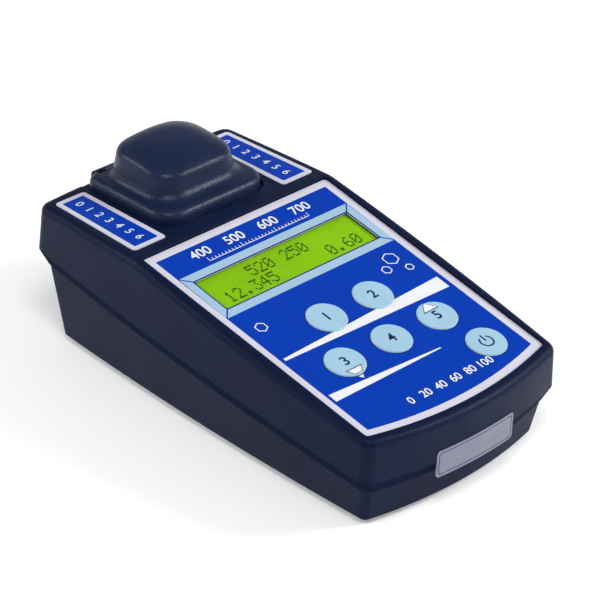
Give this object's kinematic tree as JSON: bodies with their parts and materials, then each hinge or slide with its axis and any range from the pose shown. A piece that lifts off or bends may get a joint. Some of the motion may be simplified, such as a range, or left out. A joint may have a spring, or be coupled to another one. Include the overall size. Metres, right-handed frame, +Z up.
{
  "type": "bench colorimeter",
  "caption": "Bench colorimeter: wedge case with sloping keypad and display, hinged light-tight lid over a sample well, battery door below.",
  "frame": {"origin": "on the ground under the middle of the case", "axes": "+Z up, +Y towards the lid end, -Y towards the user"},
  "size_m": [0.0864, 0.1558, 0.0658],
  "materials": {
    "case_plastic": "fine satin grain",
    "lid_plastic": "fine satin grain",
    "label_film": "satin film, blue with a pale border",
    "key_film": "satin light blue",
    "window_film": "clear",
    "lcd_glass": "yellow-green display",
    "tin": "satin",
    "lamp_panel": "diffusing",
    "board": "green board",
    "black_part": "matt",
    "badge": "satin",
    "felt": "felt",
    "steel": "satin",
    "well_plastic": "black",
    "clear_part": "polished",
    "battery_case": "satin",
    "rubber": "matt"
  },
  "bodies": {
    "case": {"upper_housing": "case_plastic", "lower_housing": "case_plastic", "keypad_overlay": "label_film", "left_side_label": "label_film", "right_side_label": "label_film", "display_window": "window_film", "display_glass": "lcd_glass", "display_bezel": "tin", "battery_snap": "tin", "display_backlight": "lamp_panel", "display_board": "board", "key_board": "board", "main_board": "board", "detector_board": "board", "lamp_board": "board", "tactile_switches": "black_part", "microcontroller": "black_part", "buzzer": "black_part", "photodiode": "black_part", "front_badge": "badge", "hinge_pin": "steel", "case_screws": "steel", "board_screws": "steel", "sample_well": "well_plastic", "light_source": "clear_part", "focusing_lens": "clear_part", "optical_filter": "clear_part", "battery": "battery_case", "rubber_feet": "rubber"},
    "lid": {"light_shield_lid": "lid_plastic", "lid_seal": "felt"},
    "door": {"battery_door": "case_plastic"},
    "escape_button": {"escape_key": "key_film"},
    "calibrate_button": {"calibrate_key": "key_film"},
    "store_button": {"store_key": "key_film"},
    "enter_button": {"enter_key": "key_film"},
    "read_button": {"read_key": "key_film"},
    "power_button": {"power_key": "key_film"}
  },
  "joints": [
    {"name": "lid_hinge", "type": "hinge", "parent": "case", "child": "lid", "pos_m": [0, 0.07402, 0.04927], "axis": [-1, 0, 0], "range_deg": [0, 105]},
    {"name": "door_slide", "type": "slide", "parent": "case", "child": "door", "axis": [0, 1, 0], "range_m": [0, 0.008]},
    {"name": "escape_button_press", "type": "slide", "parent": "case", "child": "escape_button", "axis": [0, 0.165, -0.9863], "range_m": [0, 0.0004], "stiffness_N_per_m": 800},
    {"name": "calibrate_button_press", "type": "slide", "parent": "case", "child": "calibrate_button", "axis": [0, 0.165, -0.9863], "range_m": [0, 0.0004], "stiffness_N_per_m": 800},
    {"name": "store_button_press", "type": "slide", "parent": "case", "child": "store_button", "axis": [0, 0.165, -0.9863], "range_m": [0, 0.0004], "stiffness_N_per_m": 800},
    {"name": "enter_button_press", "type": "slide", "parent": "case", "child": "enter_button", "axis": [0, 0.165, -0.9863], "range_m": [0, 0.0004], "stiffness_N_per_m": 800},
    {"name": "read_button_press", "type": "slide", "parent": "case", "child": "read_button", "axis": [0, 0.165, -0.9863], "range_m": [0, 0.0004], "stiffness_N_per_m": 800},
    {"name": "power_button_press", "type": "slide", "parent": "case", "child": "power_button", "axis": [0, 0.165, -0.9863], "range_m": [0, 0.0004], "stiffness_N_per_m": 800}
  ]
}
